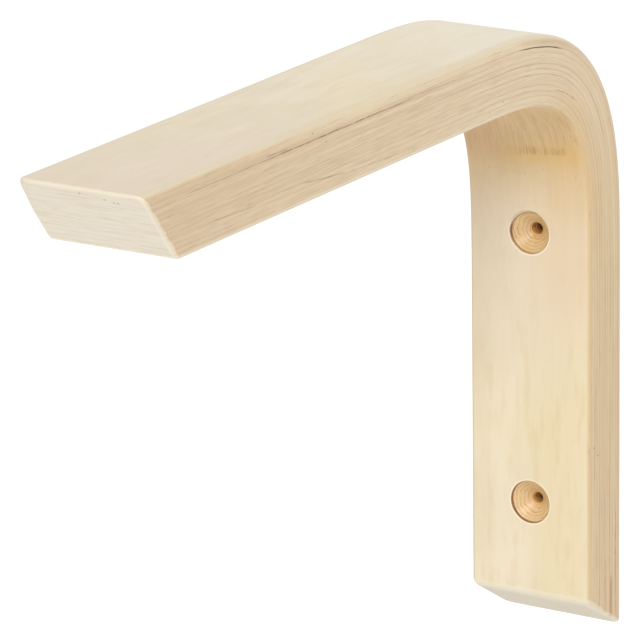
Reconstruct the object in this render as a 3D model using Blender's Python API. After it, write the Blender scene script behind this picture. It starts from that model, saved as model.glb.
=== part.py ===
"""Bent plywood shelf bracket: one L-shaped board of glued veneers, drilled for two wall screws.

Metres, +Z up. The back of the leg lies in the plane Y = 0 and goes against the wall. The arm reaches
towards -Y and carries the shelf. The origin is on the back of the leg, halfway between the screws.
"""

import math

import bmesh
import bpy
from mathutils import Vector

# Board
WIDTH = 0.040
VENEER_COUNT = 13
VENEER_THICKNESS = 0.00157

# Outline from the side. The bend's length is that of its outer face. Its ease says how gently the
# curvature comes and goes: 0 is a plain arc, and 1 has no curvature where it meets the straights.
ARM_REACH = 0.2504
LEG_DROP = 0.1933
BEND_LENGTH = 0.147
BEND_EASE = 0.98
ARM_END_SETBACK = 0.0157
LEG_END_SETBACK = 0.0122

# Edges: the long ones are rounded over on the outer side of the bend and eased on the inner side.
# The sawn ends have a sanded arris all round, wider on the outer side than on the inner one.
OUTER_EDGE_RADIUS = 0.0026
INNER_EDGE_RADIUS = 0.0011
OUTER_ARRIS = 0.0015
INNER_ARRIS = 0.0009

# Screw holes, drilled from the inner face of the leg: a short straight recess, a cone, a shank hole
UPPER_SCREW_DROP = 0.069
SCREW_SPACING = 0.083
RECESS_RADIUS = 0.00645
RECESS_WALL = 0.0011
COUNTERSINK_DEPTH = 0.0047
SHANK_RADIUS = 0.002

# Facets
BEND_SEGMENTS = 24
STEPS_PER_SEGMENT = 20
OUTER_EDGE_SEGMENTS = 5
INNER_EDGE_SEGMENTS = 2
ARRIS_SEGMENTS = 2
HOLE_SEGMENTS = 32
CUTTER_OVERRUN = 0.002
WELD_DISTANCE = 0.00001
SMOOTH_ANGLE = math.radians(30)

WOOD_COLOUR = (0.74, 0.58, 0.38, 1.0)
WOOD_ROUGHNESS = 0.55

BOARD_THICKNESS = VENEER_COUNT * VENEER_THICKNESS
TOP_Z = UPPER_SCREW_DROP + SCREW_SPACING / 2


def clear_scene():
    for item in list(bpy.data.objects):
        bpy.data.objects.remove(item, do_unlink=True)


def wood_material():
    material = bpy.data.materials.new("bent_plywood")
    material.use_nodes = True
    shader = material.node_tree.nodes["Principled BSDF"]
    shader.inputs["Base Color"].default_value = WOOD_COLOUR
    shader.inputs["Roughness"].default_value = WOOD_ROUGHNESS
    shader.inputs["Metallic"].default_value = 0.0
    return material


def add_object(name, shape):
    """Puts the finished bmesh into the scene as an object."""
    mesh = bpy.data.meshes.new(name)
    shape.to_mesh(mesh)
    shape.free()
    item = bpy.data.objects.new(name, mesh)
    bpy.context.collection.objects.link(item)
    return item


def bend_heading(share):
    """How far the outer face has turned down, in radians, at a share of the way round the bend."""
    ripple = BEND_EASE * math.sin(2 * math.pi * share) / (2 * math.pi)
    return math.pi / 2 * (share - ripple)


def bend_stations():
    """Points on the outer face of the bend with their headings, from the arm to the leg."""
    steps = BEND_SEGMENTS * STEPS_PER_SEGMENT
    stride = BEND_LENGTH / steps
    point = Vector((0, 0, TOP_Z))
    stations = [(point.copy(), 0.0)]
    for index in range(steps):
        heading = bend_heading((index + 0.5) / steps)
        point += stride * Vector((0, math.cos(heading), -math.sin(heading)))
        if (index + 1) % STEPS_PER_SEGMENT == 0:
            stations.append((point.copy(), bend_heading((index + 1) / steps)))
    back_to_wall = Vector((0, -point.y, 0))
    return [(place + back_to_wall, heading) for place, heading in stations]


def section():
    """The board's section, once round: places across and in depth, each with its way out."""
    half = WIDTH / 2
    outer, inner = OUTER_EDGE_RADIUS, INNER_EDGE_RADIUS
    corners = (
        (half - outer, outer, outer, OUTER_EDGE_SEGMENTS),
        (outer - half, outer, outer, OUTER_EDGE_SEGMENTS),
        (inner - half, BOARD_THICKNESS - inner, inner, INNER_EDGE_SEGMENTS),
        (half - inner, BOARD_THICKNESS - inner, inner, INNER_EDGE_SEGMENTS),
    )
    points = []
    for quarter, (across, depth, radius, segments) in enumerate(corners):
        for index in range(segments + 1):
            angle = math.pi / 2 * (quarter + index / segments)
            out = (math.cos(angle), -math.sin(angle))
            points.append((across + radius * out[0], depth + radius * out[1], out))
    return points


def end_rings(tip, back, inward, setback):
    """Rings of a sawn end, from the board's sides round the sanded arris to the cut."""
    rings = [[] for _ in range(ARRIS_SEGMENTS + 1)]

    def on_cut(across, depth):
        return tip + Vector((across, 0, 0)) + depth * inward + depth * setback / BOARD_THICKNESS * back

    for across, depth, out in section():
        arris = OUTER_ARRIS + (INNER_ARRIS - OUTER_ARRIS) * depth / BOARD_THICKNESS
        edge = on_cut(across, depth)
        on_side = edge + arris * back
        inside = on_cut(across - arris * out[0], depth - arris * out[1])
        for index, ring in enumerate(rings):
            share = index / ARRIS_SEGMENTS
            ring.append(on_side.lerp(edge, share).lerp(edge.lerp(inside, share), share))
    return rings


def board_rings():
    """Every ring of the board, from the arm's sawn end round the bend to the leg's."""
    along_y, along_z = Vector((0, 1, 0)), Vector((0, 0, 1))
    arm_tip = Vector((0, -ARM_REACH, TOP_Z))
    leg_tip = Vector((0, 0, TOP_Z - LEG_DROP))
    arm_end = end_rings(arm_tip, along_y, -along_z, ARM_END_SETBACK)
    leg_end = end_rings(leg_tip, along_z, -along_y, LEG_END_SETBACK)
    bend = []
    for outer, heading in bend_stations():
        inward = Vector((0, -math.sin(heading), -math.cos(heading)))
        bend.append([outer + Vector((across, 0, 0)) + depth * inward for across, depth, _ in section()])
    return arm_end[::-1] + bend + leg_end


def bent_board():
    """The board before drilling, skinned over its rings."""
    board = bmesh.new()
    rings = [[board.verts.new(place) for place in ring] for ring in board_rings()]
    for ring, following in zip(rings, rings[1:]):
        for corner in range(len(ring)):
            beside = (corner + 1) % len(ring)
            board.faces.new((ring[corner], ring[beside], following[beside], following[corner]))
    board.faces.new(rings[0])
    board.faces.new(rings[-1])
    bmesh.ops.recalc_face_normals(board, faces=board.faces)
    return board


def screw_cutter(name, height):
    """A turned cutter on the Y axis: recess, cone and shank hole, longer than the leg is thick."""
    front = -BOARD_THICKNESS
    profile = (
        (0, front - CUTTER_OVERRUN),
        (RECESS_RADIUS, front - CUTTER_OVERRUN),
        (RECESS_RADIUS, front + RECESS_WALL),
        (SHANK_RADIUS, front + COUNTERSINK_DEPTH),
        (SHANK_RADIUS, CUTTER_OVERRUN),
        (0, CUTTER_OVERRUN),
    )
    cutter = bmesh.new()
    verts = [cutter.verts.new((radius, y, 0)) for radius, y in profile]
    edges = [cutter.edges.new(ends) for ends in zip(verts, verts[1:])]
    bmesh.ops.spin(
        cutter,
        geom=verts + edges,
        axis=(0, 1, 0),
        cent=(0, 0, 0),
        angle=2 * math.pi,
        steps=HOLE_SEGMENTS,
        use_merge=True,
    )
    bmesh.ops.remove_doubles(cutter, verts=cutter.verts, dist=WELD_DISTANCE)
    bmesh.ops.recalc_face_normals(cutter, faces=cutter.faces)
    item = add_object(name, cutter)
    item.location.z = height
    item.hide_render = True
    item.display_type = "WIRE"
    return item


def drill(board, cutter):
    cut = board.modifiers.new(cutter.name, "BOOLEAN")
    cut.operation = "DIFFERENCE"
    cut.solver = "EXACT"
    cut.object = cutter


def build_bracket():
    board = add_object("bracket", bent_board())
    board.data.materials.append(wood_material())
    board.data.shade_smooth()
    board.data.set_sharp_from_angle(angle=SMOOTH_ANGLE)
    for name, height in (("upper", SCREW_SPACING / 2), ("lower", -SCREW_SPACING / 2)):
        drill(board, screw_cutter(name + "_screw_cutter", height))


clear_scene()
build_bracket()
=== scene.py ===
"""Scene for the bent plywood shelf bracket.

The finely faceted, drilled board has its veneers, grain, glue lines and sanded edges. It hangs over
a pale floor in soft light, and is seen from the front, the right and above.

Metres, +Z up, in the same frame as the solids: the back of the leg lies in the plane Y = 0 and the
arm reaches towards -Y. The textures work in millimetres: along the board from the arm's tip, across
it from its middle, and in depth from its outer face.
"""

import math
from types import SimpleNamespace

import bmesh
import bpy
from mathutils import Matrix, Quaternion, Vector


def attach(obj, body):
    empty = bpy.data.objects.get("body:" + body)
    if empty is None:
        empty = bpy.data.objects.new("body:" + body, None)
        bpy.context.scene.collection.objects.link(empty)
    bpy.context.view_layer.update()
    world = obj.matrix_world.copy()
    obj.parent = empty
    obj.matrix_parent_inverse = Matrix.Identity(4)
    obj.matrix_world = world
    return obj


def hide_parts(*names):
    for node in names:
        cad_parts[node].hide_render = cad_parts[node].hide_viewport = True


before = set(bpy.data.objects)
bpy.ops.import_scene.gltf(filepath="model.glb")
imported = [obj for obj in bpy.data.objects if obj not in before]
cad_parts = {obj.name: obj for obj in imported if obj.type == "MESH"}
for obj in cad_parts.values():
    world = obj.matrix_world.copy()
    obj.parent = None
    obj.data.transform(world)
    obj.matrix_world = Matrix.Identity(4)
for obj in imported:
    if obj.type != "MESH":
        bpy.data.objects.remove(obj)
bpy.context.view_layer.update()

# Board
WIDTH = 0.040
VENEER_COUNT = 13
VENEER_THICKNESS = 0.00157

# Outline from the side
ARM_REACH = 0.2504
LEG_DROP = 0.1933
BEND_LENGTH = 0.147
BEND_EASE = 0.98
ARM_END_SETBACK = 0.0157
LEG_END_SETBACK = 0.0122

# Edges
OUTER_EDGE_RADIUS = 0.0026
INNER_EDGE_RADIUS = 0.0011
ARM_OUTER_ARRIS = 0.0015
ARM_INNER_ARRIS = 0.0015
LEG_OUTER_ARRIS = 0.0016
LEG_INNER_ARRIS = 0.0023

# The far top corner of the arm's end is worn back, less and less down to its reach in depth
FAR_CORNER_WEAR = 0.0027
FAR_CORNER_REACH = 0.0105

# Screw holes
UPPER_SCREW_DROP = 0.069
SCREW_SPACING = 0.083
RECESS_RADIUS = 0.00645
RECESS_WALL = 0.0011
COUNTERSINK_DEPTH = 0.0047
SHANK_RADIUS = 0.002
RIM_CHAMFER = 0.00025
SHANK_RIDGE_PITCH = 0.0009
SHANK_RIDGE_HEIGHT = 0.00030
SHANK_RIDGE_CREST = 0.3

# Facets
BEND_SEGMENTS = 96
STEPS_PER_SEGMENT = 20
STRAIGHT_SEGMENTS = 10
FACE_SEGMENTS = 10
OUTER_EDGE_SEGMENTS = 8
INNER_EDGE_SEGMENTS = 4
ARRIS_SEGMENTS = 8
HOLE_SEGMENTS = 96
CUTTER_OVERRUN = 0.002
WELD_DISTANCE = 0.000001
SMOOTH_ANGLE = math.radians(32)

BOARD_THICKNESS = VENEER_COUNT * VENEER_THICKNESS
TOP_Z = UPPER_SCREW_DROP + SCREW_SPACING / 2
MM = 1000.0

# Camera
CAMERA_AZIMUTH = math.radians(32.167)
CAMERA_ELEVATION = math.radians(16.829)
CAMERA_ROLL = math.radians(0.835)
CAMERA_DISTANCE = 1.4658
CAMERA_TARGET = Vector((0.0, -0.13558, 0.04521))
CAMERA_LENS_MM = 301.28
SENSOR_MM = 36.0
CLIP_START = 0.05
CLIP_END = 100.0

# Floor, surround and lamp
FLOOR_Z = -0.26
FLOOR_SIZE = 60.0
FLOOR_COLOUR = (0.95, 0.95, 0.95, 1.0)
FLOOR_ROUGHNESS = 0.9
FLOOR_SPECULAR = 0.1
SURROUND_COLOUR = (1.0, 1.0, 1.0, 1.0)
SURROUND_STRENGTH = 0.95
LAMP_PLACE = (1.39, -2.19, 2.44)
LAMP_TARGET = (0, -0.1, 0)
LAMP_SIZE = 1.7
LAMP_WATTS = 72.0


def colour(red, green, blue):
    """A display colour of 0 to 255 a channel as the linear colour that shaders use."""
    def linear(value):
        share = value / 255
        return share / 12.92 if share <= 0.04045 else ((share + 0.055) / 1.055) ** 2.4
    return (linear(red), linear(green), linear(blue), 1.0)


# The board's shape

def bend_heading(share):
    """How far the outer face has turned down, in radians, at a share of the way round the bend."""
    ripple = BEND_EASE * math.sin(2 * math.pi * share) / (2 * math.pi)
    return math.pi / 2 * (share - ripple)


def bend_stations():
    """Points on the outer face of the bend with their headings, from the arm to the leg."""
    steps = BEND_SEGMENTS * STEPS_PER_SEGMENT
    stride = BEND_LENGTH / steps
    point = Vector((0, 0, TOP_Z))
    stations = [(point.copy(), 0.0)]
    for index in range(steps):
        heading = bend_heading((index + 0.5) / steps)
        point += stride * Vector((0, math.cos(heading), -math.sin(heading)))
        if (index + 1) % STEPS_PER_SEGMENT == 0:
            stations.append((point.copy(), bend_heading((index + 1) / steps)))
    back_to_wall = Vector((0, -point.y, 0))
    return [(place + back_to_wall, heading) for place, heading in stations]


BEND = bend_stations()
BEND_START = BEND[0][0].y + ARM_REACH


def inward(heading):
    """The way from the outer face into the board."""
    return Vector((0, -math.sin(heading), -math.cos(heading)))


def section():
    """The board's section, once round: places across and in depth, each with its way out."""
    half = WIDTH / 2
    points = []

    def corner(across, depth, radius, start, segments):
        for index in range(segments + 1):
            angle = start + math.pi / 2 * index / segments
            out = (math.cos(angle), -math.sin(angle))
            points.append((across + radius * out[0], depth + radius * out[1], out))

    def flat(start, end, out, shares):
        for share in shares:
            across = start[0] + (end[0] - start[0]) * share
            depth = start[1] + (end[1] - start[1]) * share
            points.append((across, depth, out))

    outer, inner = OUTER_EDGE_RADIUS, INNER_EDGE_RADIUS
    face = [index / FACE_SEGMENTS for index in range(1, FACE_SEGMENTS)]
    low = BOARD_THICKNESS - inner
    veneers = [
        (index * VENEER_THICKNESS - outer) / (low - outer)
        for index in range(1, VENEER_COUNT)
        if outer < index * VENEER_THICKNESS < low
    ]
    corner(half - outer, outer, outer, 0.0, OUTER_EDGE_SEGMENTS)
    flat((half - outer, 0.0), (outer - half, 0.0), (0, -1), face)
    corner(outer - half, outer, outer, math.pi / 2, OUTER_EDGE_SEGMENTS)
    flat((-half, outer), (-half, low), (-1, 0), veneers)
    corner(inner - half, low, inner, math.pi, INNER_EDGE_SEGMENTS)
    flat((inner - half, BOARD_THICKNESS), (half - inner, BOARD_THICKNESS), (0, 1), face)
    corner(half - inner, low, inner, 1.5 * math.pi, INNER_EDGE_SEGMENTS)
    flat((half, low), (half, outer), (1, 0), [1 - share for share in reversed(veneers)])
    return points


def end_rings(tip, back, inward_here, setback, outer_arris, inner_arris, wear):
    """Rings of a sawn end, from the board's sides round the sanded arris to the cut.

    The wear cuts back the outer corner on the side towards -X.
    """
    rings = [[] for _ in range(ARRIS_SEGMENTS + 1)]

    def on_cut(across, depth):
        slant = depth * setback / BOARD_THICKNESS
        return tip + Vector((across, 0, 0)) + depth * inward_here + slant * back

    for across, depth, out in section():
        share = depth / BOARD_THICKNESS
        arris = outer_arris + (inner_arris - outer_arris) * share
        worn = wear * max(0.0, 1 - depth / FAR_CORNER_REACH) if across < 0 else 0.0
        edge = on_cut(across, depth)
        on_side = edge + (arris + worn * max(0.0, -out[0])) * back
        inside_depth = outer_arris + share * (BOARD_THICKNESS - outer_arris - inner_arris)
        inside = on_cut(across * (1 - 2 * (arris + worn) / WIDTH), inside_depth)
        for index, ring in enumerate(rings):
            share = index / ARRIS_SEGMENTS
            ring.append(on_side.lerp(edge, share).lerp(edge.lerp(inside, share), share))
    return rings


def board_rings():
    """Every ring of the board, from the arm's sawn end to the leg's."""
    outline = section()
    arm_tip = Vector((0, -ARM_REACH, TOP_Z))
    leg_tip = Vector((0, 0, TOP_Z - LEG_DROP))
    arm_end = end_rings(
        arm_tip,
        back=Vector((0, 1, 0)),
        inward_here=inward(0.0),
        setback=ARM_END_SETBACK,
        outer_arris=ARM_OUTER_ARRIS,
        inner_arris=ARM_INNER_ARRIS,
        wear=FAR_CORNER_WEAR,
    )
    leg_end = end_rings(
        leg_tip,
        back=Vector((0, 0, 1)),
        inward_here=inward(math.pi / 2),
        setback=LEG_END_SETBACK,
        outer_arris=LEG_OUTER_ARRIS,
        inner_arris=LEG_INNER_ARRIS,
        wear=0.0,
    )

    def ring_at(outer, heading):
        down = inward(heading)
        return [outer + depth * down + Vector((across, 0, 0)) for across, depth, _ in outline]

    def between(first, last):
        return [
            [start.lerp(end, index / STRAIGHT_SEGMENTS) for start, end in zip(first, last)]
            for index in range(1, STRAIGHT_SEGMENTS)
        ]

    bend = [ring_at(outer, heading) for outer, heading in BEND]
    rings = list(reversed(arm_end)) + between(arm_end[0], bend[0]) + bend
    return rings + between(bend[-1], leg_end[0]) + leg_end


def add_object(name, shape):
    """Puts the finished bmesh into the scene as an object."""
    mesh = bpy.data.meshes.new(name)
    shape.to_mesh(mesh)
    shape.free()
    item = bpy.data.objects.new(name, mesh)
    bpy.context.collection.objects.link(item)
    return item


def bent_board():
    """The board before drilling, skinned over its rings."""
    board = bmesh.new()
    rings = [[board.verts.new(place) for place in ring] for ring in board_rings()]
    for ring, following in zip(rings, rings[1:]):
        for corner in range(len(ring)):
            beside = (corner + 1) % len(ring)
            board.faces.new((ring[corner], ring[beside], following[beside], following[corner]))
    board.faces.new(rings[0])
    board.faces.new(list(reversed(rings[-1])))
    bmesh.ops.recalc_face_normals(board, faces=board.faces)
    return add_object("bent_board", board)


def screw_cutter(name, height):
    """A turned cutter on the Y axis: chamfered mouth, recess, cone and ridged shank hole."""
    front = -BOARD_THICKNESS
    mouth = RECESS_RADIUS + RIM_CHAMFER
    profile = [
        (0, front - CUTTER_OVERRUN),
        (mouth, front - CUTTER_OVERRUN),
        (mouth, front),
        (RECESS_RADIUS, front + RIM_CHAMFER),
        (RECESS_RADIUS, front + RECESS_WALL),
        (SHANK_RADIUS, front + COUNTERSINK_DEPTH),
    ]
    depth = front + COUNTERSINK_DEPTH
    while depth + SHANK_RIDGE_PITCH < 0:
        crest = depth + SHANK_RIDGE_PITCH * SHANK_RIDGE_CREST
        profile.append((SHANK_RADIUS - SHANK_RIDGE_HEIGHT, crest))
        profile.append((SHANK_RADIUS, depth + SHANK_RIDGE_PITCH))
        depth += SHANK_RIDGE_PITCH
    profile += [(SHANK_RADIUS, CUTTER_OVERRUN), (0, CUTTER_OVERRUN)]
    cutter = bmesh.new()
    verts = [cutter.verts.new((radius, y, 0)) for radius, y in profile]
    edges = [cutter.edges.new(ends) for ends in zip(verts, verts[1:])]
    bmesh.ops.spin(
        cutter,
        geom=verts + edges,
        axis=(0, 1, 0),
        cent=(0, 0, 0),
        angle=2 * math.pi,
        steps=HOLE_SEGMENTS,
        use_merge=True,
    )
    bmesh.ops.remove_doubles(cutter, verts=cutter.verts, dist=WELD_DISTANCE)
    bmesh.ops.recalc_face_normals(cutter, faces=cutter.faces)
    item = add_object(name, cutter)
    item.location.z = height
    return item


def drill(board, cutters):
    """Cuts the holes and keeps the result as the board's own mesh."""
    for cutter in cutters:
        cut = board.modifiers.new(cutter.name, "BOOLEAN")
        cut.operation = "DIFFERENCE"
        cut.solver = "EXACT"
        cut.object = cutter
    bpy.context.view_layer.update()
    graph = bpy.context.evaluated_depsgraph_get()
    drilled = bpy.data.meshes.new_from_object(board.evaluated_get(graph))
    board.modifiers.clear()
    board.data = drilled
    drilled.name = board.name
    for cutter in cutters:
        bpy.data.objects.remove(cutter, do_unlink=True)


def on_board(place):
    """Where a point lies on the board, in millimetres: along, across and depth."""
    leg_top = BEND[-1][0].z
    if place.y <= BEND[0][0].y:
        return place.y + ARM_REACH, place.x, TOP_Z - place.z
    if place.z <= leg_top:
        return BEND_START + BEND_LENGTH + leg_top - place.z, place.x, -place.y

    def ahead(index):
        outer, heading = BEND[index]
        offset = place - outer
        return offset.y * math.cos(heading) - offset.z * math.sin(heading)

    low, high = 0, BEND_SEGMENTS
    while high - low > 1:
        middle = (low + high) // 2
        if ahead(middle) > 0:
            low = middle
        else:
            high = middle
    before, after = ahead(low), ahead(high)
    share = before / (before - after)
    outer = BEND[low][0].lerp(BEND[high][0], share)
    heading = BEND[low][1] + (BEND[high][1] - BEND[low][1]) * share
    along = BEND_START + BEND_LENGTH * (low + share) / BEND_SEGMENTS
    return along, place.x, (place - outer).dot(inward(heading))


def mark_board(mesh):
    """Stores along, across and depth on every vertex for the textures."""
    marks = mesh.attributes.new("board", "FLOAT_VECTOR", "POINT")
    for vertex, mark in zip(mesh.vertices, marks.data):
        mark.vector = [MM * value for value in on_board(vertex.co)]


def finish_board(board):
    """Marks the board for its textures and sets its shading."""
    mark_board(board.data)
    board.data.shade_smooth()
    board.data.set_sharp_from_angle(angle=SMOOTH_ANGLE)
    weights = board.modifiers.new("flat_faces_stay_flat", "WEIGHTED_NORMAL")
    weights.keep_sharp = True


# Node helpers

class Nodes:
    """Adds nodes to one material, taking numbers or other nodes' sockets as inputs."""

    def __init__(self, tree):
        self.tree = tree

    def add(self, kind, **settings):
        node = self.tree.nodes.new(kind)
        for name, value in settings.items():
            setattr(node, name, value)
        return node

    def feed(self, socket, value):
        if isinstance(value, bpy.types.NodeSocket):
            self.tree.links.new(value, socket)
        else:
            socket.default_value = value

    def math(self, operation, *values, clamp=False):
        node = self.add("ShaderNodeMath", operation=operation, use_clamp=clamp)
        for socket, value in zip(node.inputs, values):
            self.feed(socket, value)
        return node.outputs[0]

    def band(self, value, start, end):
        """0 before the start and 1 past the end, which may also be the lower one of the two."""
        node = self.add("ShaderNodeMapRange", interpolation_type="SMOOTHSTEP")
        self.feed(node.inputs["Value"], value)
        low, high = min(start, end), max(start, end)
        node.inputs["From Min"].default_value = low
        node.inputs["From Max"].default_value = high
        node.inputs["To Min"].default_value = 0.0 if start < end else 1.0
        node.inputs["To Max"].default_value = 1.0 if start < end else 0.0
        return node.outputs["Result"]

    def zone(self, value, begins, full, fades, ends):
        """Two masks, to multiply: up to full from where it begins, and down again to its end."""
        return self.band(value, begins, full), self.band(value, ends, fades)

    def spread(self, value, low, high, to_low, to_high):
        """A plain change of range, kept between the new limits."""
        node = self.add("ShaderNodeMapRange")
        self.feed(node.inputs["Value"], value)
        node.inputs["From Min"].default_value = low
        node.inputs["From Max"].default_value = high
        node.inputs["To Min"].default_value = to_low
        node.inputs["To Max"].default_value = to_high
        return node.outputs["Result"]

    def stretch(self, vector, scale, shift=(0.0, 0.0, 0.0)):
        node = self.add("ShaderNodeMapping")
        self.feed(node.inputs["Vector"], vector)
        node.inputs["Scale"].default_value = scale
        node.inputs["Location"].default_value = shift
        return node.outputs["Vector"]

    def noise(
        self, vector, scale, shift=(0.0, 0.0, 0.0), detail=2.0, roughness=0.5, distortion=0.0
    ):
        """Noise of one cell per millimetre, times the scale on each axis."""
        node = self.add("ShaderNodeTexNoise")
        self.feed(node.inputs["Vector"], self.stretch(vector, scale, shift))
        node.inputs["Scale"].default_value = 1.0
        node.inputs["Detail"].default_value = detail
        node.inputs["Roughness"].default_value = roughness
        node.inputs["Distortion"].default_value = distortion
        return node.outputs["Fac"]

    def blend(self, factor, first, second, mode="MIX"):
        node = self.add("ShaderNodeMix", data_type="RGBA", blend_type=mode)
        self.feed(node.inputs["Factor"], factor)
        self.feed(node.inputs[6], first)
        self.feed(node.inputs[7], second)
        return node.outputs[2]

    def paint(self, surface, paint, mask, strength):
        """The surface with another colour over it, where and as strongly as the mask says."""
        return self.blend(self.math("MULTIPLY", mask, strength), surface, paint)

    def distance(self, first, second):
        """How far off a point is, from its offsets on two axes."""
        squares = self.math(
            "ADD", self.math("MULTIPLY", first, first), self.math("MULTIPLY", second, second)
        )
        return self.math("SQRT", squares)

    def all_of(self, *masks):
        result = masks[0]
        for mask in masks[1:]:
            result = self.math("MULTIPLY", result, mask)
        return result

    def any_of(self, *masks):
        result = masks[0]
        for mask in masks[1:]:
            result = self.math("MAXIMUM", result, mask)
        return result


# Wood. Most colours are of the wood itself, so they show paler in the light of the scene. The warm
# browns under the bend are browner wood and painted shade, with a painted shadow of the arm towards
# -X; the colour on the rounded outer edges is painted shade; the pale arris and rim colours are
# partly wear and partly painted highlight.

FACE = colour(200, 186, 157)
FACE_LIGHT = colour(206, 193, 166)
FACE_YELLOW = colour(203, 187, 148)
FACE_PINK = colour(202, 183, 161)
FACE_TIP = colour(190, 171, 148)
FACE_CROWN = colour(212, 202, 178)
FACE_DEEP = colour(188, 166, 124)
# Browner wood under the bend, laid on partly as painted shade and warm bounce light under the arm
WARM_WOOD_AND_PAINTED_SHADE = colour(186, 151, 97)
# Deeper brown in upright streaks just under the bend: grain, and painted shade where the arm hides
# the light
DEEP_GRAIN_AND_PAINTED_SHADE = colour(158, 118, 66)
# Painted shadow of the arm on the inner face's side towards -X, under the bend
FAR_SIDE_PAINTED_SHADOW = colour(170, 134, 92)
OUTER_VENEER = (0.96, 0.97, 1.0, 1.0)
LEG_CUT = (0.81, 0.79, 0.72, 1.0)
FLANK = colour(190, 168, 136)
FLANK_LIGHT = colour(199, 179, 147)
FLANK_DARK = colour(175, 150, 116)
# Painted shade on the rounded outer edges, toning down the light they catch
EDGE_PAINTED_SHADE = colour(187, 174, 145)
OUTER_SIDE = colour(198, 181, 150)
INNER_SIDE = colour(190, 160, 112)
LEG_FLANK = colour(190, 166, 121)
LEG_PINK = colour(184, 152, 120)
GLUE = colour(152, 124, 88)
DASH = colour(138, 106, 74)
CUT = colour(205, 195, 177)
CUT_LINE = colour(192, 178, 156)
# Pale sanded wood on the arrises and along the arm's inner edge, partly a painted highlight on the
# rounded edges
ARRIS_SANDED_AND_HIGHLIGHT = colour(210, 202, 180)
STAIN = colour(194, 156, 80)
STREAK = colour(140, 88, 40)
SAP = colour(146, 104, 40)
CRACK = colour(44, 22, 4)
RESIN = colour(104, 70, 14)
RECESS = colour(204, 168, 112)
RECESS_RING = colour(160, 112, 62)
# Pale ring round the holes' mouths: partly edge wear, partly painted highlight
RIM_WEAR_AND_HIGHLIGHT = colour(226, 214, 188)
BURNT = colour(120, 76, 40)
COIL = colour(232, 184, 112)
SHANK = colour(150, 84, 28)
SPECK = colour(96, 82, 58)

# Gloss and relief of the lacquered wood
SPECULAR = 0.5
COAT = 0.30
COAT_ROUGHNESS = 0.35
BUMP_STRENGTH = 0.30
BUMP_DISTANCE = 0.00010

T_MM = BOARD_THICKNESS * MM
V_MM = VENEER_THICKNESS * MM
HALF_MM = WIDTH / 2 * MM
LEG_START_MM = (BEND_START + BEND_LENGTH) * MM
LENGTH_MM = LEG_START_MM + (LEG_DROP + BEND[-1][0].z - TOP_Z) * MM

# Thin dark lines in the side towards +X: along from and to, depth from and to, half width, strength
SIDE_LINES = (
    (46, 140, 3.96, 3.96, 0.17, 0.75),
    (16, 60, 3.96, 3.96, 0.14, 0.35),
    (57, 69, 3.05, 3.50, 0.13, 0.55),
    (74, 98, 14.3, 16.6, 0.18, 0.45),
    (92, 137, 16.6, 18.2, 0.14, 0.35),
    (214, 236, 15.4, 14.3, 0.14, 0.50),
    (376, 417, 4.40, 4.40, 0.18, 0.65),
    (335, 372, 16.2, 17.2, 0.14, 0.45),
    (392, 413, 10.6, 10.3, 0.16, 0.45),
    (398, 416, 14.2, 14.6, 0.14, 0.40),
    (296, 345, 5.9, 5.4, 0.14, 0.35),
    (270, 310, 12.8, 13.3, 0.14, 0.30),
    (29, 55, 13.9, 15.0, 0.14, 0.35),
    (123, 160, 3.3, 4.2, 0.14, 0.35),
)
# Wider streaks of sap and the crack in the same side, given in the same way
SIDE_STREAKS = (
    (399, 420, 7.0, 7.3, 0.60, 0.75),
    (188, 224, 1.7, 1.9, 0.60, 0.25),
    (384, 398, 15.6, 15.9, 0.30, 0.35),
)
CRACK_LINE = (188.0, 218.0, 3.1, 3.45, 0.14)
CRACK_STRENGTH = 0.90

# Specks: along and depth in the side towards +X, and across and depth in the arm's cut
SIDE_SPECKS = (
    (80.9, 2.1), (87.3, 5.9), (180.8, 16.0), (173.4, 17.6), (358.0, 17.5), (361.0, 15.1)
)
END_SPECKS = ((-0.1, 1.9), (9.7, 3.3), (10.9, 3.4), (7.1, 2.8))
SPECK_RADIUS = 0.30
SIDE_SPECK_STRENGTH = 0.6
END_SPECK_STRENGTH = 0.5

# The turned rings of the recesses, and where the look of a sawn end begins and is full
RING_PITCH_MM = 0.78
CUT_BORDER = (0.55, 0.1)

# Stretches of the board's length: where each begins, is full, begins to fade and ends
SHOULDER = (270.0, 295.0, 305.0, 345.0)
CROWN_SIDE = (120.0, 200.0, 235.0, 285.0)
OUTER_SIDE_STRETCH = (40.0, 110.0, 190.0, 230.0)
INNER_SIDE_STRETCH = (205.0, 235.0, 270.0, 320.0)
SOFT_LINES = (170.0, 205.0, 270.0, 330.0)
# The stretch of the inner face under the bend that gets browner wood and painted shade
UNDER_BEND = (195.0, 240.0, 256.0, 298.0)
# The painted shadow of the arm on the side towards -X: its upper, stronger stretch and its lower,
# fainter one
FAR_UPPER_SHADOW = (236.0, 250.0, 262.0, 276.0)
FAR_LOWER_SHADOW = (260.0, 272.0, 280.0, 312.0)
GOLDEN = (262.0, 280.0, 300.0, 330.0)


def arrises(n, at, from_cut):
    """The sanded arrises of the sawn ends, unevenly wide, and widest at the leg's inner face."""
    from_edge = n.math("MINIMUM", at.from_side, n.math("MINIMUM", at.depth, at.from_inner))
    worn = n.noise(at.board, (0.35, 0.35, 0.35), (5.0, 2.0, 8.0), detail=2.0)
    leg_inner = n.all_of(n.band(at.along, 380.0, 400.0), n.band(at.depth, 8.0, 18.0))
    reach = n.math("MULTIPLY_ADD", leg_inner, 0.8, n.spread(worn, 0.3, 0.7, 1.0, 1.7))
    return n.all_of(
        n.band(n.math("DIVIDE", from_cut, reach), 1.05, 0.75),
        n.band(n.math("DIVIDE", from_edge, reach), 1.05, 0.75),
    )


def from_screw(n, at, height):
    """The distance from the axis of the screw hole at this height."""
    centre = LEG_START_MM + (BEND[-1][0].z - height) * MM
    return n.distance(n.math("SUBTRACT", at.along, centre), at.across)


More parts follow.
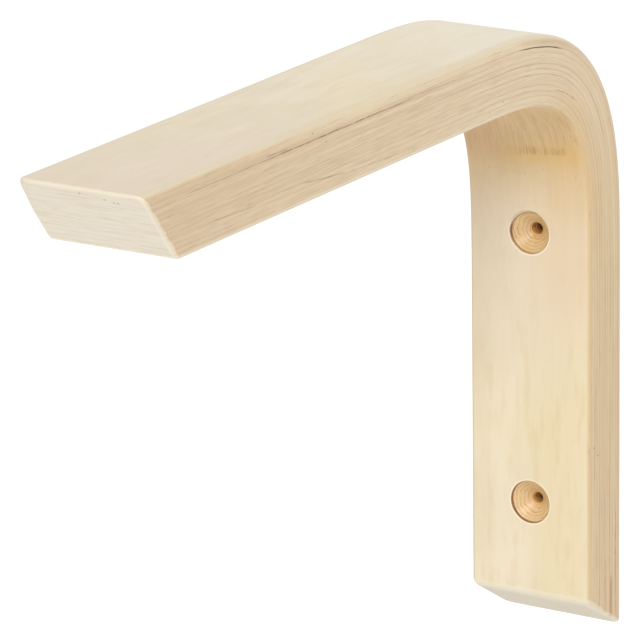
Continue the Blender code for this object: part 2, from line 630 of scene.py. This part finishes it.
def places(n):
    """Where a point lies on the board: distances in millimetres, and masks of 0 to 1."""
    board = n.add("ShaderNodeAttribute", attribute_name="board").outputs["Vector"]
    axes = n.add("ShaderNodeSeparateXYZ")
    n.feed(axes.inputs[0], board)
    along, across, depth = axes.outputs
    at = SimpleNamespace(board=board, along=along, across=across, depth=depth)

    at.from_side = n.math("SUBTRACT", HALF_MM, n.math("ABSOLUTE", across))
    at.from_inner = n.math("SUBTRACT", T_MM, depth)
    at.near_side = n.band(across, 18.0, 19.4)
    at.flank = n.band(at.from_side, 1.15, 0.2)
    at.inner_face = n.band(at.from_inner, 0.9, 0.2)
    at.outer_face = n.band(depth, 0.9, 0.2)

    def behind_cut(from_tip, setback):
        return n.math("SUBTRACT", from_tip, n.math("MULTIPLY", depth, setback / BOARD_THICKNESS))

    at.arm_cut = behind_cut(along, ARM_END_SETBACK)
    leg_cut = behind_cut(n.math("SUBTRACT", LENGTH_MM, along), LEG_END_SETBACK)
    from_cut = n.math("MINIMUM", at.arm_cut, leg_cut)
    at.cut = n.band(from_cut, *CUT_BORDER)
    at.arris = arrises(n, at, from_cut)

    at.radius = n.math(
        "MINIMUM", from_screw(n, at, SCREW_SPACING / 2), from_screw(n, at, -SCREW_SPACING / 2)
    )
    at.in_recess = n.all_of(
        n.band(at.radius, 6.75, 6.5),
        n.band(at.from_inner, 0.02, 0.25),
        n.band(at.from_inner, 6.0, 5.0),
    )
    at.in_shank = n.all_of(n.band(at.radius, 2.35, 2.05), n.band(at.from_inner, 3.9, 4.8))
    return at


def veneers(n, at):
    """The veneers: their borders wander inside the board, and each has its own piece of wood."""
    wander = n.noise(at.board, (0.012, 0.02, 0.08), (3.1, 7.7, 1.9), detail=2.0)
    inside = n.math("SINE", n.math("MULTIPLY", at.depth, math.pi / T_MM))
    shift = n.math("MULTIPLY", n.math("SUBTRACT", wander, 0.5), inside)
    counted = n.math("DIVIDE", n.math("ADD", at.depth, shift), V_MM)
    number = n.math("MAXIMUM", n.math("FLOOR", counted), 0.0)
    number = n.math("MINIMUM", number, VENEER_COUNT - 1.0)
    own = n.add("ShaderNodeTexWhiteNoise", noise_dimensions="1D")
    n.feed(own.inputs["W"], n.math("ADD", number, 0.37))
    apart = n.add("ShaderNodeVectorMath", operation="MULTIPLY_ADD")
    n.feed(apart.inputs[0], own.outputs["Color"])
    apart.inputs[1].default_value = (400.0, 90.0, 90.0)
    n.feed(apart.inputs[2], at.board)
    wood = apart.outputs[0]

    to_border = n.math("MULTIPLY", n.math("PINGPONG", counted, 0.5), V_MM)
    buried = n.all_of(n.band(at.depth, 0.5, 0.9), n.band(at.from_inner, 0.5, 0.9))
    ragged = n.noise(wood, (0.03, 0.5, 0.3), detail=3.0)
    glue = n.all_of(
        n.band(to_border, 0.36, 0.02), buried, n.spread(ragged, 0.35, 0.62, 0.10, 1.2)
    )
    return SimpleNamespace(counted=counted, own=own, wood=wood, glue=glue)


def grain(n, at, ply):
    """Grain, drawn out along the board: soft clouds, streaks, fibres and short dark dashes."""
    board, wood = at.board, ply.wood
    tint = n.noise(board, (0.018, 0.035, 0.2), (9.0, 1.0, 3.0), detail=1.0)
    to_tip = n.spread(at.along, 10.0, 100.0, 0.05, 0.20)
    slanted = n.add("ShaderNodeCombineXYZ")
    n.feed(slanted.inputs[0], at.along)
    n.feed(slanted.inputs[1], at.across)
    n.feed(slanted.inputs[2], n.math("MULTIPLY_ADD", at.along, 0.03, at.depth))
    slope = slanted.outputs[0]
    flecks = n.noise(slope, (0.11, 0.5, 4.2), (8.0, 1.0, 6.0), detail=2.0, roughness=0.5)
    return SimpleNamespace(
        clouds=n.noise(board, (0.020, 0.055, 0.3), (2.0, 4.0, 6.0), detail=2.0, roughness=0.45),
        tint=n.math("ADD", n.math("MULTIPLY", tint, 0.7), to_tip),
        streaks=n.noise(wood, (0.012, 0.55, 1.1), (11.0, 5.0, 2.0), detail=3.0, roughness=0.6),
        fibres=n.noise(wood, (0.08, 4.0, 4.0), (2.0, 9.0, 4.0), detail=3.0, roughness=0.6),
        mottle=n.noise(board, (0.055, 0.26, 0.3), (1.0, 2.0, 7.0), detail=4.0, roughness=0.65),
        speckle=n.noise(board, (0.30, 1.1, 0.5), (8.0, 5.0, 2.0), detail=3.0, roughness=0.65),
        dashes=n.all_of(n.band(flecks, 0.58, 0.71), at.flank),
        side=n.noise(slope, (0.07, 0.5, 2.4), (5.0, 3.0, 1.0), detail=4.0, roughness=0.6),
    )


def faces(n, at, lay):
    """The outer and inner faces, with the tones that change along them and painted shade on the
    rounded outer edges.
    """
    surface = n.blend(n.band(lay.clouds, 0.38, 0.64), FACE, FACE_LIGHT)
    surface = n.paint(surface, FACE_YELLOW, n.band(lay.tint, 0.50, 0.66), strength=0.65)
    surface = n.paint(surface, FACE_PINK, n.band(lay.tint, 0.46, 0.32), strength=0.65)
    surface = n.paint(surface, FACE_DEEP, n.band(lay.streaks, 0.50, 0.76), strength=0.18)
    surface = n.paint(surface, FACE_DEEP, n.band(lay.fibres, 0.50, 0.75), strength=0.22)
    surface = n.paint(surface, FACE_DEEP, n.band(lay.mottle, 0.46, 0.68), strength=0.32)
    tip = n.all_of(at.outer_face, n.band(at.along, 130.0, 0.0))
    surface = n.paint(surface, FACE_TIP, tip, strength=0.45)
    crown = n.all_of(at.outer_face, n.band(at.along, 130.0, 205.0))
    surface = n.paint(surface, FACE_CROWN, crown, strength=0.60)
    shoulder = n.all_of(at.inner_face, *n.zone(at.along, *SHOULDER))
    surface = n.paint(surface, FACE_PINK, shoulder, strength=0.45)
    surface = n.blend(n.band(at.depth, 12.0, 8.0), surface, OUTER_VENEER, mode="MULTIPLY")
    # Painted shade over the rounded outer edges
    rounding_painted_shade = n.all_of(n.band(at.depth, 2.6, 1.2), n.band(at.from_side, 3.6, 1.8))
    return n.paint(surface, EDGE_PAINTED_SHADE, rounding_painted_shade, strength=0.55)


def side_wood(n, at, ply, lay):
    """The wood of the sides: the veneers' edges, each with its own tone."""
    own_share = n.spread(at.along, 200.0, 320.0, 0.08, 0.30)
    tone = n.math("MULTIPLY", lay.streaks, 0.30)
    tone = n.math("MULTIPLY_ADD", ply.own.outputs["Value"], own_share, tone)
    tone = n.math("MULTIPLY_ADD", lay.side, 0.62, tone)
    side = n.blend(n.band(tone, 0.38, 0.62), FLANK_LIGHT, FLANK_DARK)
    side = n.blend(0.30, side, FLANK)
    side = n.paint(side, FLANK_DARK, n.band(at.along, 130.0, 0.0), strength=0.40)
    side = n.paint(side, LEG_FLANK, n.band(at.along, 205.0, 290.0), strength=0.6)
    crown_side = n.all_of(*n.zone(at.along, *CROWN_SIDE))
    side = n.paint(side, FLANK_LIGHT, crown_side, strength=0.40)
    outer_side = n.all_of(n.band(at.depth, 4.2, 1.2), *n.zone(at.along, *OUTER_SIDE_STRETCH))
    side = n.paint(side, OUTER_SIDE, outer_side, strength=0.85)
    inner_side = n.all_of(n.band(at.depth, 11.0, 17.0), *n.zone(at.along, *INNER_SIDE_STRETCH))
    side = n.paint(side, INNER_SIDE, inner_side, strength=0.70)
    return n.paint(side, FLANK_DARK, n.band(lay.fibres, 0.52, 0.78), strength=0.18)


def sides(n, at, ply, lay):
    """The sides, with soft glue lines between the veneers and short dark dashes."""
    side = side_wood(n, at, ply, lay)
    border = n.add("ShaderNodeTexWhiteNoise", noise_dimensions="1D")
    n.feed(border.inputs["W"], n.math("ADD", n.math("ROUND", ply.counted), 0.71))
    bent = n.spread(at.along, 120.0, 310.0, 0.26, 0.95)
    lines = n.spread(border.outputs["Value"], 0.0, 1.0, 0.25, 1.30)
    soft = n.all_of(n.band(at.depth, 11.0, 6.0), *n.zone(at.along, *SOFT_LINES))
    lines = n.math("MULTIPLY", lines, n.math("SUBTRACT", 1.0, n.math("MULTIPLY", soft, 0.45)))
    side = n.blend(n.all_of(ply.glue, bent, lines), side, GLUE)
    own_parts = n.add("ShaderNodeSeparateXYZ")
    n.feed(own_parts.inputs[0], ply.own.outputs["Color"])
    pink = n.all_of(n.band(own_parts.outputs[1], 0.55, 0.75), n.band(at.along, 300.0, 345.0))
    side = n.paint(side, LEG_PINK, pink, strength=0.35)
    side = n.paint(side, DASH, lay.dashes, strength=0.42)
    # A pale strip along the inner edge of the arm's sides, partly a painted highlight
    inner_strip_pale_and_highlight = n.all_of(n.band(at.from_inner, 1.7, 0.9), n.band(at.along, 215.0, 150.0))
    return n.paint(side, ARRIS_SANDED_AND_HIGHLIGHT, inner_strip_pale_and_highlight, strength=0.40)


def line_mark(n, at, wavy, start, end, depth_start, depth_end, half_width):
    """A thin line on the sides, tapering out at its ends and wandering a little."""
    slope = (depth_end - depth_start) / (end - start)
    middle = n.math("MULTIPLY_ADD", n.math("SUBTRACT", at.along, start), slope, depth_start)
    away = n.math("ABSOLUTE", n.math("SUBTRACT", wavy, middle))
    fade = (end - start) * 0.22
    return n.all_of(
        n.band(away, half_width * 1.8, half_width * 0.3),
        n.band(at.along, start, start + fade),
        n.band(at.along, end, end - fade),
    )


def speck_mark(n, sideways, depth, place, place_depth):
    """A small round speck at a place along or across the board and in its depth."""
    away = n.distance(n.math("SUBTRACT", sideways, place), n.math("SUBTRACT", depth, place_depth))
    return n.band(away, SPECK_RADIUS * 1.5, SPECK_RADIUS * 0.5)


def side_marks(n, at, surface):
    """The dark lines and specks, sap streaks and crack in the side towards +X."""
    marks = 0.0
    wobble = n.noise(at.board, (0.10, 0.1, 0.1), (1.0, 6.0, 3.0), detail=3.0)
    wavy = n.math("MULTIPLY_ADD", n.math("SUBTRACT", wobble, 0.5), 0.5, at.depth)
    for *line, strength in SIDE_LINES:
        mark = line_mark(n, at, wavy, *line)
        marks = n.math("MAXIMUM", marks, n.math("MULTIPLY", mark, strength))
    for place in SIDE_SPECKS:
        speck = speck_mark(n, at.along, at.depth, *place)
        marks = n.math("MAXIMUM", marks, n.math("MULTIPLY", speck, SIDE_SPECK_STRENGTH))
    patchy = n.noise(at.board, (0.30, 0.2, 0.2), (7.0, 3.0, 2.0), detail=2.0)
    marks = n.all_of(marks, at.near_side, n.spread(patchy, 0.35, 0.6, 0.45, 1.0))
    surface = n.blend(marks, surface, RESIN)
    for *line, strength in SIDE_STREAKS:
        streak = n.all_of(line_mark(n, at, wavy, *line), at.near_side)
        surface = n.paint(surface, SAP, streak, strength)
    crack = n.math("MULTIPLY", line_mark(n, at, wavy, *CRACK_LINE), at.near_side)
    return n.paint(surface, CRACK, crack, CRACK_STRENGTH), marks, crack


def under_bend(n, at, lay, surface):
    """Browner wood with upright streaks on the inner face under the bend, darkened there as painted
    shade under the arm, with a painted shadow of the arm towards -X and a golden band towards +X.
    """
    # Browner wood and painted shade on the inner face under the arm
    warm_wood_and_shade = n.all_of(
        at.inner_face, *n.zone(at.along, *UNDER_BEND), n.band(at.from_side, -0.8, 1.2)
    )
    warmth = n.spread(lay.streaks, 0.3, 0.7, 0.74, 0.92)
    surface = n.paint(surface, WARM_WOOD_AND_PAINTED_SHADE, warm_wood_and_shade, warmth)
    upright = n.noise(at.board, (0.06, 1.1, 0.3), (3.0, 9.0, 5.0), detail=3.0, roughness=0.65)
    # Darker upright streaks close under the bend, partly painted shade
    upper_grain_and_shade = n.all_of(warm_wood_and_shade, n.band(upright, 0.44, 0.66), n.band(at.along, 274.0, 256.0))
    surface = n.paint(surface, DEEP_GRAIN_AND_PAINTED_SHADE, upper_grain_and_shade, strength=0.34)
    # Painted shadow of the arm, darker on the side towards -X
    shadowed_far_side = n.band(at.across, 2.0, -12.0)
    far_upper_painted_shadow = n.all_of(warm_wood_and_shade, shadowed_far_side, *n.zone(at.along, *FAR_UPPER_SHADOW))
    surface = n.paint(surface, FAR_SIDE_PAINTED_SHADOW, far_upper_painted_shadow, strength=0.50)
    brown = n.all_of(warm_wood_and_shade, n.band(lay.speckle, 0.60, 0.74))
    surface = n.paint(surface, STREAK, brown, strength=0.40)
    far_lower_painted_shadow = n.all_of(at.inner_face, shadowed_far_side, *n.zone(at.along, *FAR_LOWER_SHADOW))
    surface = n.paint(surface, FAR_SIDE_PAINTED_SHADOW, far_lower_painted_shadow, strength=0.16)
    golden = n.all_of(
        at.inner_face,
        n.band(at.across, -4.0, 10.0),
        n.band(at.from_side, 0.2, 1.6),
        *n.zone(at.along, *GOLDEN),
    )
    return n.paint(surface, WARM_WOOD_AND_PAINTED_SHADE, golden, strength=0.22)


def stained(n, at, surface):
    """The stain across the leg's inner face, ragged and with a brown fringe along its edge."""
    ragged = n.noise(at.board, (0.05, 0.9, 0.3), (4.0, 2.0, 7.0), detail=3.0, roughness=0.7)
    tilted = n.math("MULTIPLY_ADD", at.across, 0.16, at.along)
    low_edge = n.math("MULTIPLY_ADD", ragged, 7.0, 264.5)
    stain = n.all_of(
        at.inner_face,
        n.band(tilted, 252.0, 265.0),
        n.band(n.math("SUBTRACT", tilted, low_edge), 2.5, -2.5),
        n.band(at.across, -19.0, 6.0),
        n.band(at.across, 20.0, 17.5),
    )
    surface = n.paint(surface, STAIN, stain, strength=0.50)
    drips = n.noise(at.board, (0.05, 2.1, 0.3), (2.0, 7.0, 1.0), detail=3.0)
    fringe = n.all_of(
        at.inner_face,
        n.band(n.math("MULTIPLY_ADD", ragged, 5.0, tilted), 261.0, 264.0),
        n.band(tilted, 264.6, 263.0),
        n.band(drips, 0.42, 0.60),
        n.band(at.across, -11.0, 5.0),
        n.band(at.across, 16.0, 12.0),
    )
    return n.paint(surface, STREAK, fringe, strength=0.50)


def sawn_ends(n, at, ply, surface):
    """The sawn ends: end grain, paler, with faint wavy lines across, specks and pale arrises that
    are partly sanded wood and partly painted highlight.
    """
    waves = n.noise(
        at.board, (0.3, 0.09, 1.9), (3.0, 8.0, 5.0), detail=3.0, roughness=0.6, distortion=0.4
    )
    sawn = n.blend(n.math("MULTIPLY", n.band(waves, 0.46, 0.66), 0.65), CUT, CUT_LINE)
    sawn = n.paint(sawn, GLUE, ply.glue, strength=0.10)
    surface = n.blend(at.cut, surface, sawn)
    leg_end = n.all_of(at.cut, n.band(at.along, 300.0, 380.0))
    surface = n.blend(leg_end, surface, LEG_CUT, mode="MULTIPLY")
    specks = 0.0
    for place in END_SPECKS:
        mark = speck_mark(n, at.across, at.depth, *place)
        speck = n.all_of(mark, n.band(at.arm_cut, *CUT_BORDER))
        specks = n.math("MAXIMUM", specks, n.math("MULTIPLY", speck, END_SPECK_STRENGTH))
    surface = n.blend(specks, surface, SPECK)
    # Pale arrises: partly sanded wood, partly painted highlight
    return n.paint(surface, ARRIS_SANDED_AND_HIGHLIGHT, at.arris, strength=0.50)


def holes(n, at, surface):
    """The screw holes: a pale mouth rim, partly edge wear and partly painted highlight, browner
    wood with turned rings, darker down the shank.
    """
    # Pale rim round each mouth, partly edge wear and partly painted highlight
    rim_wear_and_highlight = n.all_of(n.band(at.radius, 7.2, 6.8), n.band(at.from_inner, 0.5, 0.1))
    surface = n.paint(surface, RIM_WEAR_AND_HIGHLIGHT, rim_wear_and_highlight, strength=0.55)
    surface = n.paint(surface, RECESS, at.in_recess, strength=0.80)
    uneven = n.noise(at.board, (0.35, 0.35, 0.35), (6.0, 6.0, 2.0), detail=3.0)
    turned = n.math("MULTIPLY_ADD", uneven, 1.4, at.from_inner)
    turned = n.math("PINGPONG", turned, RING_PITCH_MM / 2)
    patches = n.spread(uneven, 0.35, 0.6, 0.3, 1.0)
    rings = n.all_of(at.in_recess, n.band(turned, 0.17, 0.02), patches)
    surface = n.paint(surface, RECESS_RING, rings, strength=0.70)
    wall = n.all_of(at.in_recess, n.band(at.radius, 6.25, 6.4))
    surface = n.paint(surface, BURNT, wall, strength=0.85)
    surface = n.paint(surface, SHANK, at.in_shank, strength=0.90)
    coils = n.math("MULTIPLY_ADD", uneven, 0.5, at.from_inner)
    coils = n.math("PINGPONG", coils, SHANK_RIDGE_PITCH * MM / 2)
    coil = n.all_of(at.in_shank, n.band(coils, 0.14, 0.30), n.band(at.from_inner, 20.0, 9.0))
    return n.paint(surface, COIL, coil, strength=0.80)


def lacquer(n, at, lay, shader, dull):
    """Satin gloss, rougher on the sawn ends and without its coat where the wood is open."""
    rough = n.spread(lay.fibres, 0.3, 0.7, 0.38, 0.52)
    rough = n.math("MULTIPLY_ADD", at.cut, 0.15, rough)
    rough = n.math("MULTIPLY_ADD", dull, 0.40, rough, clamp=True)
    n.feed(shader.inputs["Roughness"], rough)
    n.feed(shader.inputs["Coat Weight"], n.spread(dull, 0.0, 1.0, COAT, 0.0))
    shader.inputs["Coat Roughness"].default_value = COAT_ROUGHNESS
    shader.inputs["Specular IOR Level"].default_value = SPECULAR


def relief(n, ply, lay, shader, crack):
    """Fine relief: raised fibres, and sunk glue lines, dashes and crack."""
    height = n.math("MULTIPLY_ADD", lay.fibres, 0.5, n.math("MULTIPLY", ply.glue, -0.5))
    height = n.math("MULTIPLY_ADD", lay.dashes, -0.6, height)
    height = n.math("MULTIPLY_ADD", crack, -2.0, height)
    bump = n.add("ShaderNodeBump")
    bump.inputs["Strength"].default_value = BUMP_STRENGTH
    bump.inputs["Distance"].default_value = BUMP_DISTANCE
    n.feed(bump.inputs["Height"], height)
    n.feed(shader.inputs["Normal"], bump.outputs["Normal"])


def plywood():
    """The lacquered wood of the whole board."""
    material = bpy.data.materials.new("bent_plywood")
    material.use_nodes = True
    n = Nodes(material.node_tree)
    shader = material.node_tree.nodes["Principled BSDF"]

    at = places(n)
    ply = veneers(n, at)
    lay = grain(n, at, ply)
    surface = n.blend(at.flank, faces(n, at, lay), sides(n, at, ply, lay))
    surface, marks, crack = side_marks(n, at, surface)
    surface = under_bend(n, at, lay, surface)
    surface = stained(n, at, surface)
    surface = sawn_ends(n, at, ply, surface)
    n.feed(shader.inputs["Base Color"], holes(n, at, surface))
    lacquer(n, at, lay, shader, dull=n.any_of(at.in_shank, crack, marks))
    relief(n, ply, lay, shader, crack)
    return material


# Stage

def stage():
    """The pale floor and the white surround."""
    floor_mesh = bmesh.new()
    bmesh.ops.create_grid(floor_mesh, x_segments=1, y_segments=1, size=FLOOR_SIZE / 2)
    floor = add_object("floor", floor_mesh)
    floor.location.z = FLOOR_Z
    paint = bpy.data.materials.new("pale_floor")
    paint.use_nodes = True
    shader = paint.node_tree.nodes["Principled BSDF"]
    shader.inputs["Base Color"].default_value = FLOOR_COLOUR
    shader.inputs["Roughness"].default_value = FLOOR_ROUGHNESS
    shader.inputs["Specular IOR Level"].default_value = FLOOR_SPECULAR
    floor.data.materials.append(paint)

    world = bpy.data.worlds.new("soft_studio")
    world.use_nodes = True
    background = world.node_tree.nodes["Background"]
    background.inputs["Color"].default_value = SURROUND_COLOUR
    background.inputs["Strength"].default_value = SURROUND_STRENGTH
    bpy.context.scene.world = world


def area_light(name, place, target, size, watts):
    """A round, soft lamp that faces its target."""
    lamp = bpy.data.lights.new(name, "AREA")
    lamp.shape = "DISK"
    lamp.size = size
    lamp.energy = watts
    item = bpy.data.objects.new(name, lamp)
    item.location = place
    item.rotation_euler = (Vector(target) - Vector(place)).to_track_quat("-Z", "Y").to_euler()
    bpy.context.collection.objects.link(item)


def camera():
    """The camera at the photograph's angle."""
    lens = bpy.data.cameras.new("camera")
    lens.lens = CAMERA_LENS_MM
    lens.sensor_width = SENSOR_MM
    lens.clip_start = CLIP_START
    lens.clip_end = CLIP_END
    level = math.cos(CAMERA_ELEVATION)
    looking = Vector((
        -math.sin(CAMERA_AZIMUTH) * level,
        math.cos(CAMERA_AZIMUTH) * level,
        -math.sin(CAMERA_ELEVATION),
    ))
    item = bpy.data.objects.new("camera", lens)
    item.location = CAMERA_TARGET - CAMERA_DISTANCE * looking
    item.rotation_mode = "QUATERNION"
    upright = looking.to_track_quat("-Z", "Y")
    item.rotation_quaternion = upright @ Quaternion((0, 0, 1), -CAMERA_ROLL)
    bpy.context.collection.objects.link(item)
    bpy.context.scene.camera = item


board = bent_board()
drill(board, [
    screw_cutter("upper_screw_cutter", SCREW_SPACING / 2),
    screw_cutter("lower_screw_cutter", -SCREW_SPACING / 2),
])
finish_board(board)
board.data.materials.clear()
board.data.materials.append(plywood())
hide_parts("bracket")
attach(board, "root")

stage()
area_light("key", LAMP_PLACE, LAMP_TARGET, size=LAMP_SIZE, watts=LAMP_WATTS)
camera()
bpy.context.scene.view_settings.view_transform = "Standard"
